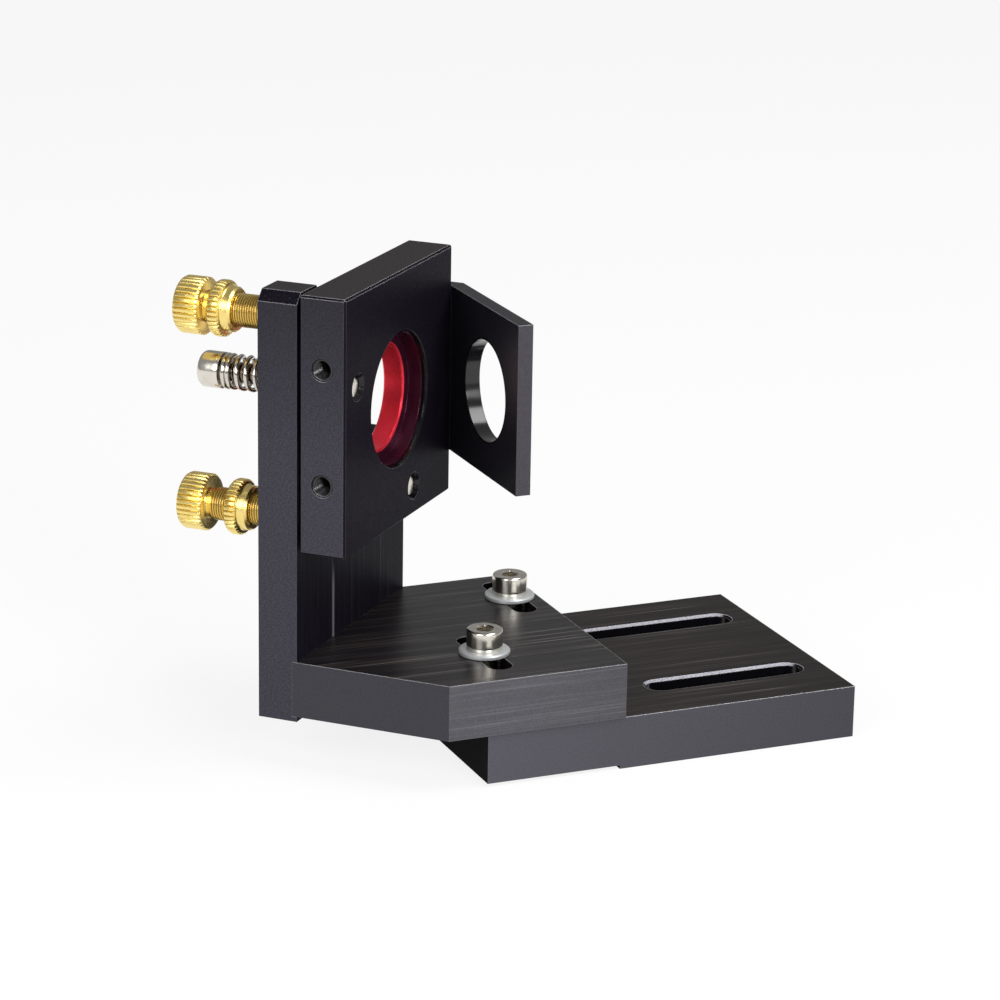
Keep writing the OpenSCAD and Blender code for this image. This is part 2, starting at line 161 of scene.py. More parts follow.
def thread_wall(outer, inner, pitch, length, steps=48):
    """The open wall of a thread, with its two rims: one zigzag turned a full turn while it rises by a
    pitch, then cut square at both ends."""
    bm = bmesh.new()
    tooth = ((inner, 0), (inner, 0.14), (outer, 0.5), (outer, 0.64))
    turns = math.ceil(length / pitch) + 4
    points = [
        bm.verts.new((r, 0, (turn - 2 + part) * pitch))
        for turn in range(turns)
        for r, part in tooth
    ]
    edges = [bm.edges.new(pair) for pair in zip(points, points[1:])]
    bmesh.ops.spin(
        bm,
        geom=points + edges,
        cent=(0, 0, 0),
        axis=(0, 0, 1),
        dvec=(0, 0, pitch / steps),
        angle=math.tau,
        steps=steps,
    )
    bmesh.ops.remove_doubles(bm, verts=bm.verts, dist=1e-3)
    rims = []
    for height, way in ((0, -1), (length, 1)):
        cut = bmesh.ops.bisect_plane(
            bm,
            geom=bm.verts[:] + bm.edges[:] + bm.faces[:],
            plane_co=(0, 0, height),
            plane_no=(0, 0, way),
            clear_outer=True,
        )
        rims.append([e for e in cut["geom_cut"] if isinstance(e, bmesh.types.BMEdge)])
    return bm, rims


def threaded(radius, pitch, length, depth=0.6):
    """A threaded rod."""
    bm, rims = thread_wall(radius, radius - depth * pitch, pitch, length)
    for rim in rims:
        bmesh.ops.contextual_create(bm, geom=rim)
    return bm


def tapped(radius, pitch, length, depth=0.5):
    """The threaded wall of a hole, as a sleeve that lies in the plate."""
    sleeve = radius + 0.25
    bm, rims = thread_wall(radius, radius - depth * pitch, pitch, length)
    outside = []
    for rim in rims:
        grown = bmesh.ops.extrude_edge_only(bm, edges=rim)["geom"]
        for v in (g for g in grown if isinstance(g, bmesh.types.BMVert)):
            v.co.xy *= sleeve / math.hypot(v.co.x, v.co.y)
        outside += [g for g in grown if isinstance(g, bmesh.types.BMEdge) and g.is_boundary]
    bmesh.ops.bridge_loops(bm, edges=outside)
    return bm


def hex_socket(bm, across, above):
    """Moves the rings at half the width across flats onto a hexagon, above a height."""
    for v in bm.verts:
        r = math.hypot(v.co.x, v.co.y)
        if abs(r - across / 2) < 0.02 and v.co.z > above:
            v.co.xy /= math.cos(math.atan2(v.co.y, v.co.x) % (math.pi / 3) - math.pi / 6)


def joined(*parts):
    """One bmesh from several, each given with how far it is lifted."""
    whole = bmesh.new()
    for bm, lift in parts:
        bmesh.ops.translate(bm, verts=bm.verts, vec=(0, 0, lift))
        mesh = bpy.data.meshes.new("part")
        bm.to_mesh(mesh)
        whole.from_mesh(mesh)
        bpy.data.meshes.remove(mesh)
        bm.free()
    return whole


def piece(name, bm, place, finish, body, node_name, sharp=32):
    """Makes a bmesh a smooth-shaded object in its place, which rides on a body and may stand for a node.
    Edges sharper than the given degrees stay sharp."""
    bmesh.ops.recalc_face_normals(bm, faces=bm.faces)
    for face in bm.faces:
        face.smooth = True
    for edge in bm.edges:
        edge.smooth = edge.is_manifold and edge.calc_face_angle(0) < math.radians(sharp)
    bm.transform(Matrix.Scale(MM, 4) @ place)
    mesh = bpy.data.meshes.new(name)
    bm.to_mesh(mesh)
    bm.free()
    mesh.materials.append(finish)
    obj = bpy.data.objects.new(name, mesh)
    scene.collection.objects.link(obj)
    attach(obj, body)
    if node_name:
        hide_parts(node_name)
    return obj


# ---------------------------------------------------------------- finishes
def colour(code):
    """A linear colour from an sRGB hex value."""
    parts = [int(code[i : i + 2], 16) / 255 for i in (0, 2, 4)]
    return (*(c / 12.92 if c <= 0.04045 else ((c + 0.055) / 1.055) ** 2.4 for c in parts), 1)


def add(tree, kind, inputs={}, out=0, **settings):
    """Adds a node with its settings and its inputs' values or links, and gives back one of its
    outputs."""
    node = tree.nodes.new("ShaderNode" + kind)
    for name, value in settings.items():
        setattr(node, name, value)
    for key, value in inputs.items():
        if isinstance(value, bpy.types.NodeSocket):
            tree.links.new(value, node.inputs[key])
        else:
            node.inputs[key].default_value = value
    return node.outputs[out] if node.outputs else None


def new_finish(name):
    """An empty node material and its tree."""
    material = bpy.data.materials.new(name)
    material.use_nodes = True
    material.node_tree.nodes.clear()
    return material, material.node_tree


def grain(tree, lengths, detail=2.0, seed=0.0):
    """A random pattern, stretched to the given lengths in millimetres along x, y and z."""
    where = add(tree, "TexCoord", out="Object")
    scale = tuple(1 / MM / length for length in lengths)
    scaled = add(tree, "Mapping", {"Vector": where, "Location": (seed, seed, seed), "Scale": scale})
    return add(tree, "TexNoise", {"Vector": scaled, "Scale": 1.0, "Detail": detail})


def from_axis(tree, point, direction):
    """How far a place lies from an axis, and how far along it from a point on it, in metres."""
    where = add(tree, "TexCoord", out="Object")
    start = tuple(MM * c for c in point)
    arm = add(tree, "VectorMath", {0: where, 1: start}, operation="SUBTRACT")
    along = add(tree, "VectorMath", {0: arm, 1: direction}, out="Value", operation="DOT_PRODUCT")
    across = add(tree, "VectorMath", {0: arm, 1: direction}, operation="CROSS_PRODUCT")
    return add(tree, "VectorMath", {0: across}, out="Value", operation="LENGTH"), along


# A painted highlight along upper edges, bare aluminium where the dye is gone in scores, and the light
# grey of the strips
PAINTED_EDGE_HIGHLIGHT, BARE_SCORE, STRIP_GREY = "dddce1", "8a857f", "737179"
EDGE_RADIUS = 0.22
# Inner walls are cut smooth before the dye, which leaves them glossy; they are painted near black as
# shade
RECESS_SHADE, INNER_ROUGH, GLOSS_SHARE = "0a090c", 0.2, 0.7


def die_lines(tree, lengths, seed):
    """Fine streaks in broader bands, as on drawn bar, and the few bright scores among them."""
    longest = max(lengths)
    band_lengths = tuple(g * (2 if g == longest else 6) for g in lengths)
    score_lengths = tuple(g * (1.5 if g == longest else 1) for g in lengths)
    fine = grain(tree, lengths, 3.0, seed)
    bands = grain(tree, band_lengths, 2.0, seed + 7)
    scores = grain(tree, score_lengths, 0.0, seed + 20)
    fine = add(tree, "MapRange", {0: fine, 1: 0.42, 2: 0.72}, interpolation_type="SMOOTHSTEP")
    bands = add(tree, "MapRange", {0: bands, 1: 0.35, 2: 0.65, 3: 0.25}, interpolation_type="SMOOTHSTEP")
    streaks = add(tree, "Math", {0: fine, 1: bands}, operation="MULTIPLY")
    return streaks, add(tree, "MapRange", {0: scores, 1: 0.76, 2: 0.8})


def dyed_faces_with_painted_light(tree, faces, streaks, scores, speckle):
    """Tone, roughness and relief of all groups of faces, each on the surfaces that face along its
    direction, either way. Each tone holds painted light by the way its faces turn, and some darken
    towards one end as painted shade."""
    where = add(tree, "TexCoord", out="Object")
    normal = add(tree, "TexCoord", out="Normal")
    body = rough = relief = None
    for direction, dark, light, roughness, drawn, *painted_shades in faces:
        pattern = add(tree, "Mix", {0: drawn, 2: speckle, 3: streaks})
        tone = add(tree, "Mix", {0: pattern, 6: colour(dark), 7: colour(light)}, out=2, data_type="RGBA")
        # painted shade: the tone turns darker along a direction, as the light falls off
        for heading, start, end, darkest in painted_shades:
            along = add(tree, "VectorMath", {0: where, 1: heading}, out="Value", operation="DOT_PRODUCT")
            shade = add(tree, "MapRange", {0: along, 1: start * MM, 2: end * MM, 4: darkest})
            tone = add(tree, "Mix", {0: shade, 6: tone, 7: colour("000000")}, out=2, data_type="RGBA")
        scored = add(tree, "Math", {0: scores, 1: 0.6 * drawn**3}, operation="MULTIPLY")
        tone = add(tree, "Mix", {0: scored, 6: tone, 7: colour(BARE_SCORE)}, out=2, data_type="RGBA")
        dull = add(tree, "MapRange", {0: pattern, 3: roughness + 0.05, 4: roughness - 0.05})
        if body is None:
            body, rough, relief = tone, dull, pattern
            continue
        # painted light: the group's tone, lighter or darker by the way its faces turn to the lamps, is
        # mixed in
        turn = add(tree, "VectorMath", {0: normal, 1: direction}, out="Value", operation="DOT_PRODUCT")
        turn = add(tree, "Math", {0: turn}, operation="ABSOLUTE")
        share = add(tree, "MapRange", {0: turn, 1: 0.75, 2: 0.9}, interpolation_type="SMOOTHSTEP")
        body = add(tree, "Mix", {0: share, 6: body, 7: tone}, out=2, data_type="RGBA")
        rough = add(tree, "Mix", {0: share, 2: rough, 3: dull})
        relief = add(tree, "Mix", {0: share, 2: relief, 3: pattern})
    return body, rough, relief


def inner_walls(tree, bores, hollows):
    """1 inside bores, each a point, an axis and a radius, and in boxes, each a middle and half its
    size."""
    where = add(tree, "TexCoord", out="Object")
    inside = 0.0
    for point, axis, radius in bores:
        reach = from_axis(tree, point, axis)[0]
        within = add(tree, "Math", {0: reach, 1: radius * MM}, operation="LESS_THAN")
        inside = add(tree, "Math", {0: within, 1: inside}, operation="MAXIMUM")
    for middle, half in hollows:
        off = add(tree, "VectorMath", {0: where, 1: tuple(MM * c for c in middle)}, operation="SUBTRACT")
        off = add(tree, "VectorMath", {0: off, 1: tuple(MM * c for c in half)}, operation="DIVIDE")
        off = add(tree, "VectorMath", {0: off}, operation="ABSOLUTE")
        x, y, z = (add(tree, "SeparateXYZ", {0: off}, out=i) for i in range(3))
        off = add(tree, "Math", {0: x, 1: y}, operation="MAXIMUM")
        off = add(tree, "Math", {0: off, 1: z}, operation="MAXIMUM")
        within = add(tree, "Math", {0: off, 1: 1.0}, operation="LESS_THAN")
        inside = add(tree, "Math", {0: within, 1: inside}, operation="MAXIMUM")
    return inside


def rounded_edges_and_highlight(tree, edge_shine):
    """The normal with its edges rounded, and how far a place gets the painted highlight along the edges,
    most where it looks up, as if lit from above.
    """
    rounded_normal = add(tree, "Bevel", {"Radius": EDGE_RADIUS * MM}, samples=4)
    flat = add(tree, "NewGeometry", out="Normal")
    bend = add(tree, "VectorMath", {0: rounded_normal, 1: flat}, out="Value", operation="DOT_PRODUCT")
    edge = add(tree, "MapRange", {0: bend, 1: 0.985, 2: 0.9}, interpolation_type="SMOOTHSTEP")
    rise = add(tree, "VectorMath", {0: rounded_normal, 1: UP}, out="Value", operation="DOT_PRODUCT")
    rise = add(tree, "MapRange", {0: rise, 1: 0.2, 2: 0.5, 3: 0.12 * edge_shine, 4: edge_shine})
    return rounded_normal, add(tree, "Math", {0: edge, 1: rise}, operation="MULTIPLY")


def black_anodised(name, faces, lines, seed=0.0, specular=0.1, edge_shine=0.85, bores=(), hollows=(), light_strips=()):
    """Black anodised aluminium bar. Each group of faces keeps the look of how it was made: drawn faces
    have long die lines, which show as fine streaks and a few bright scores, bead-blasted ones are
    greyer, dull and faintly speckled, and turned bores and milled slots are glossy. Each group's tone
    also holds painted light: lighter on faces turned to the lamps, darker on those turned away, and
    bores and slots are painted near black as shade. Some faces turn slowly darker towards one end, a
    painted shade. Upper edges are broken by a quarter of a millimetre, and a thin painted highlight
    runs along them. A light strip is a light grey streak from a point upwards, told by that point, its
    length and its radius."""
    material, tree = new_finish(name)
    streaks, scores = die_lines(tree, lines, seed)
    # sand marks, 0.3 mm across so that they show
    speckle = grain(tree, (0.3, 0.3, 0.3), 2.0, seed)
    speckle = add(tree, "MapRange", {0: speckle, 1: 0.35, 2: 0.65}, interpolation_type="SMOOTHSTEP")
    body, rough, relief = dyed_faces_with_painted_light(tree, faces, streaks, scores, speckle)
    # a light grey strip, straight up from a point
    for point, length, radius in light_strips:
        reach, along = from_axis(tree, point, UP)
        near = add(tree, "MapRange", {0: reach, 1: 0.3 * radius * MM, 2: radius * MM, 3: 0.7, 4: 0.0})
        below = add(tree, "MapRange", {0: along, 1: 0.7 * length * MM, 2: length * MM, 3: 1.0, 4: 0.0})
        strip = add(tree, "Math", {0: near, 1: below}, operation="MULTIPLY")
        body = add(tree, "Mix", {0: strip, 6: body, 7: colour(STRIP_GREY)}, out=2, data_type="RGBA")
    inside = inner_walls(tree, bores, hollows)
    if bores or hollows:
        rough = add(tree, "Mix", {0: inside, 2: rough, 3: INNER_ROUGH})
        # painted shade: bores and slots are near black
        body = add(tree, "Mix", {0: inside, 6: body, 7: colour(RECESS_SHADE)}, out=2, data_type="RGBA")
    rounded_normal, edge = rounded_edges_and_highlight(tree, edge_shine)
    outside = add(tree, "Math", {0: 1.0, 1: inside}, operation="SUBTRACT")
    edge = add(tree, "Math", {0: edge, 1: outside}, operation="MULTIPLY")
    # painted highlight: a thin light line along the upper edges
    tint = add(tree, "Mix", {0: edge, 6: body, 7: colour(PAINTED_EDGE_HIGHLIGHT)}, out=2, data_type="RGBA")
    glossy = add(tree, "Math", {0: edge, 1: inside}, operation="MAXIMUM")
    glossy = add(tree, "Math", {0: glossy, 1: GLOSS_SHARE}, operation="MULTIPLY")
    bump = add(tree, "Bump", {"Strength": 0.2, "Distance": 0.01 * MM, "Height": relief, "Normal": rounded_normal})
    shader = add(
        tree,
        "BsdfPrincipled",
        {
            "Base Color": tint,
            "Roughness": rough,
            "IOR": 1.5,
            "Specular IOR Level": specular,
            "Coat Weight": glossy,
            "Coat Roughness": 0.14,
            "Normal": bump,
            "Coat Normal": rounded_normal,
        },
    )
    add(tree, "OutputMaterial", {"Surface": shader})
    return material


# painted shade in the roots of threads and knurls
ROOT_SHADE = "6a3c0c"


def turned_metal(name, code, dark_code, rough, seed=0.0, tarnish=0.3, axes=(), roots=(), metal=1.0):
    """Turned bright metal. The tool leaves faint changes of gloss, handling leaves darker patches, and
    the roots of threads and knurls are painted a dark brown shade, which keep a plain polished surface
    from looking like plastic. Axes are the (v, z) of pieces with such roots. A root is its inner and
    outer radius, how far its walls may turn towards the axis, and how dark its painted shade is."""
    material, tree = new_finish(name)
    patches = grain(tree, (3.0, 3.0, 3.0), 3.0, seed)
    limits = {0: patches, 1: 0.4, 2: 0.75, 4: tarnish}
    patches = add(tree, "MapRange", limits, interpolation_type="SMOOTHSTEP")
    marks = grain(tree, (0.25, 0.25, 0.25), 2.0, seed)
    gloss = add(tree, "MapRange", {0: marks, 1: 0.35, 2: 0.65, 3: rough * 0.85, 4: rough * 1.15})
    tone = add(tree, "Mix", {0: patches, 6: colour(code), 7: colour(dark_code)}, out=2, data_type="RGBA")
    normal = add(tree, "TexCoord", out="Normal")
    lean = add(tree, "VectorMath", {0: normal, 1: ALONG_NORMAL}, out="Value", operation="DOT_PRODUCT")
    lean = add(tree, "Math", {0: lean}, operation="ABSOLUTE")
    reach = 1.0  # metres, far from any axis
    for at in axes:
        reach_one = from_axis(tree, MIRROR_AXES @ Vector((0, *at)), ALONG_NORMAL)[0]
        reach = add(tree, "Math", {0: reach, 1: reach_one}, operation="MINIMUM")
    for inner, outer, steepest, darkening in roots:
        deep = add(tree, "MapRange", {0: reach, 1: outer * MM, 2: (inner + outer) / 2 * MM, 4: darkening})
        for value, limit, test in ((reach, inner * MM, "GREATER_THAN"), (lean, steepest, "LESS_THAN")):
            within = add(tree, "Math", {0: value, 1: limit}, operation=test)
            deep = add(tree, "Math", {0: deep, 1: within}, operation="MULTIPLY")
        # painted shade: the roots of threads and knurls are dark brown
        tone = add(tree, "Mix", {0: deep, 6: tone, 7: colour(ROOT_SHADE)}, out=2, data_type="RGBA")
    bump = add(tree, "Bump", {"Strength": 0.02, "Distance": 0.01 * MM, "Height": marks})
    shader = add(
        tree,
        "BsdfPrincipled",
        {"Base Color": tone, "Metallic": metal, "Roughness": gloss, "Normal": bump},
    )
    add(tree, "OutputMaterial", {"Surface": shader})
    return material


def red_anodised(name, shoulder):
    """Turned aluminium, anodised a clear red: metal seen through a dye, so it shines in its own colour,
    with a soft satin gloss. In front of the mirror's shoulder, at that u, the wall is painted a deep
    plum: painted shade, with a painted reflection of the red bore in it. Its rims are broken round."""
    material, tree = new_finish(name)
    along = from_axis(tree, MIRROR_AXES @ Vector((0, *PLATE_MIDDLE)), ALONG_NORMAL)[1]
    tint = grain(tree, (4.0, 4.0, 4.0), 2.0)
    red = add(tree, "Mix", {0: tint, 6: colour("fd3a4c"), 7: colour("e0293c")}, out=2, data_type="RGBA")
    pocket = add(tree, "Math", {0: along, 1: shoulder * MM}, operation="GREATER_THAN")
    # painted shade and reflection: the wall in front of the shoulder is a deep plum
    tone = add(tree, "Mix", {0: pocket, 6: red, 7: colour("4a1a30")}, out=2, data_type="RGBA")
    gloss = add(tree, "MapRange", {0: tint, 1: 0.35, 2: 0.65, 3: 0.25, 4: 0.32})
    rounded_rim = add(tree, "Bevel", {"Radius": 0.3 * MM}, samples=4)
    shader = add(
        tree,
        "BsdfPrincipled",
        {
            "Base Color": tone,
            "Metallic": 0.7,
            "Roughness": gloss,
            "Specular IOR Level": 0.4,
            "Normal": rounded_rim,
        },
    )
    add(tree, "OutputMaterial", {"Surface": shader})
    return material


# Length, in millimetres, of the die lines' pattern along x, y and z
ALONG_BAR = (30.0, 0.3, 0.3)
DOWN_UPRIGHT = (0.5, 0.5, 30.0)

# A group of faces: the direction that they face, or None for all the others, their dark and light tone,
# which holds painted light (lighter where the faces turn to the lamps, darker where they turn away),
# their roughness, and how far their pattern is die lines and not sand marks. A painted shade may
# follow: its direction, where along it the faces turn darker from and to in millimetres, and by what
# share.
# painted shade: the sides turn darker towards the top
BLASTED_SIDE = (ALONG_UPRIGHT, "35343b", "403f47", 0.6, 0.0, (UP, 62.0, 92.0, 0.4))
BLASTED_TOP = (UP, "2e2b2c", "383435", 0.5, 0.0)
FRONT_CHAMFER = (0.0, -HALF, HALF)

DRAWN_LOWER = black_anodised(
    "black_anodised_lower_plate",
    [
        # painted light and shade: near black ends as in shade, a lighter front, lighter chamfers facing
        # front and up as a painted highlight, and top and front painted darker towards the right
        (None, "0a090e", "0e0d12", 0.55, 0.3),
        (RIGHT, "040406", "070709", 0.95, 0.0),
        (UP, "1d1a1a", "463f3b", 0.36, 0.95, (RIGHT, 5.0, LOWER_END, 0.3)),
        (FRONT, "46454c", "4e4d54", 0.55, 0.1, (RIGHT, -LOWER_END, LOWER_END, 0.38)),
        (FRONT_CHAMFER, "8b8a93", "b5b4bd", 0.3, 0.3),
    ],
    ALONG_BAR,
    seed=3.0,
    specular=0.12,
    hollows=[(middle, TABLE_SLOT_HALF) for middle in TABLE_SLOT_MIDDLES],
)
DRAWN_BASE = black_anodised(
    "black_anodised_base_plate",
    [
        # painted light and shade: a lighter front, painted darker towards the right
        (None, "27262e", "2d2c34", 0.55, 0.2),
        (UP, "100e12", "3f3936", 0.3, 1.0),
        (FRONT, "3c3b41", "56555b", 0.5, 0.7, (RIGHT, -32.0, -5.0, 0.25)),
    ],
    ALONG_BAR,
    specular=0.4,
    edge_shine=0.6,
    hollows=[((*at, BASE_TOP - BASE_T / 2), CLAMP_SLOT_HALF) for at in (NEAR_CLAMP, FAR_CLAMP)],
)
BLASTED_UPRIGHT = black_anodised(
    "black_anodised_upright",
    # painted light: the sides are lighter and the faces turned away from the lamps darker
    [(None, "0e0c13", "1d1a23", 0.4, 0.6), BLASTED_SIDE, BLASTED_TOP],
    DOWN_UPRIGHT,
    seed=5.0,
    specular=0.03,
    edge_shine=0.6,
    # a light grey strip up the upright's front
    light_strips=[(MIRROR_AXES @ Vector((0, 16.5, BASE_TOP)), 15.0, 0.7)],
)
SATIN_PLATE = black_anodised(
    "black_anodised_mirror_plate",
    # painted light: the sides are lighter and the faces turned away from the lamps darker
    [(None, "100d15", "17141c", 0.48, 0.15), BLASTED_SIDE, BLASTED_TOP],
    DOWN_UPRIGHT,
    seed=9.0,
    specular=0.03,
    edge_shine=0.6,
    bores=[
        (MIRROR_AXES @ Vector((0, *at)), ALONG_NORMAL, radius)
        for at, radius in (
            (PLATE_MIDDLE, FRONT_BORE_R),
            (SIDE_SPRING, SCREW_HOLE_R),
            (BOTTOM_SPRING, SCREW_HOLE_R),
        )
    ],
)
SATIN_BRACKET = black_anodised(
    "black_anodised_bracket",
    # painted light: the front faces are lighter than the rest
    [(None, "151319", "1d1c21", 0.35, 0.15), (FRONT, "36343a", "3d3b41", 0.6, 0.0)],
    DOWN_UPRIGHT,
    seed=13.0,
    specular=0.25,
    edge_shine=0.6,
    bores=[(APERTURE_MIDDLE, RIGHT, APERTURE_R)],
)
GLOSSY_THREAD = black_anodised(
    "black_anodised_thread",
    [(None, "08070a", "0c0b0e", 0.2, 0.0)],
    DOWN_UPRIGHT,
    seed=15.0,
    specular=0.7,
    edge_shine=0.0,
)
RED_CELL = red_anodised("red_anodised_turned", CELL_SHOULDER_U)
BRASS = turned_metal(
    "brass_turned",
    "fce38f",
    "dcad4e",
    0.3,
    seed=1.0,
    tarnish=0.2,
    axes=(TOP, CORNER, FAR),
    roots=[(2.86, 3.16, 0.95, 0.55), (5.08, 5.3, 0.4, 0.4)],
)
NICKEL = turned_metal(
    "nickel_plated_steel",
    "e2ddd3",
    "a89d8c",
    0.2,
    seed=2.0,
    axes=(SIDE_SPRING, BOTTOM_SPRING),
    roots=[(1.5, 1.96, 0.95, 0.9)],
)
ZINC = turned_metal("zinc_plated_washer", "cfd2d3", "b4b8ba", 0.34, seed=4.0, tarnish=0.15, metal=0.6)
SPRING_STEEL = turned_metal("spring_steel_bright", "d6d1c9", "857d74", 0.14, seed=6.0)
BALL_STEEL = turned_metal("bearing_steel_polished", "c9c9cc", "a5a5a9", 0.06, seed=8.0, tarnish=0.1)
SEAT_STEEL = turned_metal("hardened_steel_ground", "9d9da1", "7c7c80", 0.3, seed=10.0)
BLACK_OXIDE = turned_metal("black_oxide_steel", "2c2b2d", "1d1c1e", 0.38, seed=12.0)

for node_name, finish in {
    "lower_plate": DRAWN_LOWER,
    "base_plate": DRAWN_BASE,
    "upright_plate": BLASTED_UPRIGHT,
    "mirror_plate": SATIN_PLATE,
    "aperture_bracket": SATIN_BRACKET,
    "mirror_cell": RED_CELL,
    "top_ball": BALL_STEEL,
    "corner_ball": BALL_STEEL,
    "far_ball": BALL_STEEL,
    "flat_seat": SEAT_STEEL,
    "cone_seat": SEAT_STEEL,
    "groove_seat": SEAT_STEEL,
}.items():
    materials = cad[node_name].data.materials
    if not materials:
        materials.append(finish)
    for slot in cad[node_name].material_slots:
        slot.material = finish

# ---------------------------------------------------------------- adjusters and lock nuts
FLUTES, FLUTE_DEPTH = 34, 0.36
ADJUSTER_L = 26.7
KNOB_R, KNOB_L = 5.5, 5.2
NECK_L = 1.2
TIP_R, TIP_L = 3.1, 2.5
POCKET_R = 2.05
NUT_R, NUT_L = 5.4, 4.5
COLLAR_R = 4.3
THREAD_R, THREAD_PITCH = 3.2, 0.5


def adjuster():
    """Knob, neck, fine thread and a tip with the ball's pocket, from the knob's outer face on."""
    hollow_face = [(0, 0.25), (3.6, 0.25), (3.9, 0), (4.6, 0)]
    rim = [(4.95, 0.09), (5.2, 0.28), (5.38, 0.58), (KNOB_R, 0.85), (KNOB_R, 3.0)]
    inner_face = [(KNOB_R, KNOB_L - 0.35), (5.15, KNOB_L), (4.4, KNOB_L), (3.1, KNOB_L - 0.15)]
    neck_end = KNOB_L + NECK_L + 0.2
    neck = [(2.85, KNOB_L + 0.1), (2.8, KNOB_L + 1.0), (3.0, neck_end), (0, neck_end)]
    knob = turned(hollow_face + rim + inner_face + neck, FLUTES * FLUTE_STEPS)
    knurl(knob, KNOB_R, FLUTES, FLUTE_DEPTH)
    tip = turned([(POCKET_R, 0), (TIP_R, 0), (TIP_R, 2.0), (2.7, TIP_L), (POCKET_R, TIP_L)], 48)
    shank = threaded(THREAD_R, THREAD_PITCH, ADJUSTER_L - TIP_L - KNOB_L - NECK_L)
    return joined((knob, 0), (shank, KNOB_L + NECK_L), (tip, ADJUSTER_L - TIP_L))


def lock_nut():
    """Knurled flange, then a plain collar with a broken rim, round a clear bore."""
    face = [(3.25, 0.3), (3.55, 0), (4.6, 0)]
    rim = [(4.88, 0.09), (5.12, 0.28), (5.29, 0.58), (NUT_R, 0.85), (NUT_R, 2.0)]
    inner_face = [(5.3, 2.35), (5.0, 2.6), (4.75, 2.6), (4.5, 2.68), (4.36, 2.85)]
    collar = [(COLLAR_R, 3.1), (COLLAR_R, 4.1), (3.95, NUT_L), (3.5, NUT_L), (3.25, 4.25)]
    nut = turned(face + rim + inner_face + collar, FLUTES * FLUTE_STEPS)
    knurl(nut, NUT_R, FLUTES, FLUTE_DEPTH)
    return nut


# An adjuster ends at tip_u, just past its ball's centre, and its nut stands nut_gap behind the upright.
for place, at, tip_u, nut_gap in (
    ("top", TOP, 0.5, 6.7),
    ("corner", CORNER, 0.9, 3.4),
    ("far", FAR, 0.9, 3.4),
):
    adjuster_name, nut_name = place + "_adjuster", place + "_lock_nut"
    screw_place = on_mirror(tip_u - ADJUSTER_L, at)
    nut_place = on_mirror(-UPRIGHT_T - nut_gap - NUT_L, at)
    screw = adjuster()
    piece(place + "_adjusting_screw", screw, screw_place, BRASS, adjuster_name, adjuster_name)
    piece(place + "_knurled_nut", lock_nut(), nut_place, BRASS, place + "_carrier", nut_name)


# ---------------------------------------------------------------- screws, washers, threads and springs
M4_R, M4_PITCH = 2.0, 0.7
HEAD_R, SOCKET_ACROSS = 3.5, 3.0
PLAIN_L = 2.2


def cap_screw(length, head, crown):
    """M4 cap screw: its head, with a rim rounded to the crown's radius, stands on z = 0, and its shank
    hangs below."""
    bm = turned(
        [(0, 0), (3.45, 0), (HEAD_R, 0.08), (HEAD_R, 1.0), (HEAD_R, 2.2)]
        + rounded((HEAD_R - crown, head - crown), crown, 0)
        + [(1.9, head), (SOCKET_ACROSS / 2, head - 0.2), (SOCKET_ACROSS / 2, 2.0), (0, 1.7)],
        48,
    )
    hex_socket(bm, SOCKET_ACROSS, 1.9)
    into = 0.1  # the plain neck reaches that far into the head and into the thread
    neck = turned([(0, 0), (1.6, 0), (M4_R, 0.4), (M4_R, PLAIN_L), (0, PLAIN_L)], 32)
    thread = threaded(M4_R, M4_PITCH, length - PLAIN_L)
    return joined((bm, 0), (thread, 2 * into - length), (neck, into - PLAIN_L))


# Screws: length below the head, height of the head, and radius of its rim
SPRUNG = (27, 4.5, 1.1)
CLAMPING = (18, 4.0, 0.45)
UPRIGHT_SCREW = (16, 4.0, 0.45)
BRACKET_SCREW = (8, 4.0, 0.45)
SPRUNG_U = -UPRIGHT_T - HEAD_GAP
SUNK_U = -UPRIGHT_T + 4.2
PLATE_U = PLATE_GAP + MIRROR_T / 2
OUT_OF_SIDE = PLATE_W + BRACKET_T
ABOVE_MIDDLE, BELOW_MIDDLE = (PLATE_MIDDLE[1] + way * SIDE_HOLE_PITCH / 2 for way in (1, -1))

for place, at in (("side", SIDE_SPRING), ("bottom", BOTTOM_SPRING)):
    name, node_name = place + "_sprung_screw", place + "_spring_screw"
    lay = on_mirror(SPRUNG_U, at) @ UPSIDE
    piece(name, cap_screw(*SPRUNG), lay, NICKEL, "mirror", node_name)

for place, at in (("near", NEAR_CLAMP), ("far", FAR_CLAMP)):
    name, node_name = place + "_clamping_screw", place + "_clamp_screw"
    lay = Matrix.Translation((*at, BASE_TOP + WASHER_T))
    piece(name, cap_screw(*CLAMPING), lay, NICKEL, "lower", node_name)

for place, v in (("near", UPRIGHT_SCREW_EDGE), ("far", PLATE_W - UPRIGHT_SCREW_EDGE)):
    name, node_name = place + "_upright_cap_screw", place + "_upright_screw"
    lay = on_mirror(SUNK_U, (v, BASE_TOP - BASE_T / 2)) @ UPSIDE
    piece(name, cap_screw(*UPRIGHT_SCREW), lay, BLACK_OXIDE, "base", node_name)

for place, z in (("upper", ABOVE_MIDDLE), ("lower", BELOW_MIDDLE)):
    name, node_name = place + "_bracket_cap_screw", place + "_bracket_screw"
    lay = on_mirror(PLATE_U, (OUT_OF_SIDE, z), ALONG_V)
    piece(name, cap_screw(*BRACKET_SCREW), lay, NICKEL, "mirror", node_name)

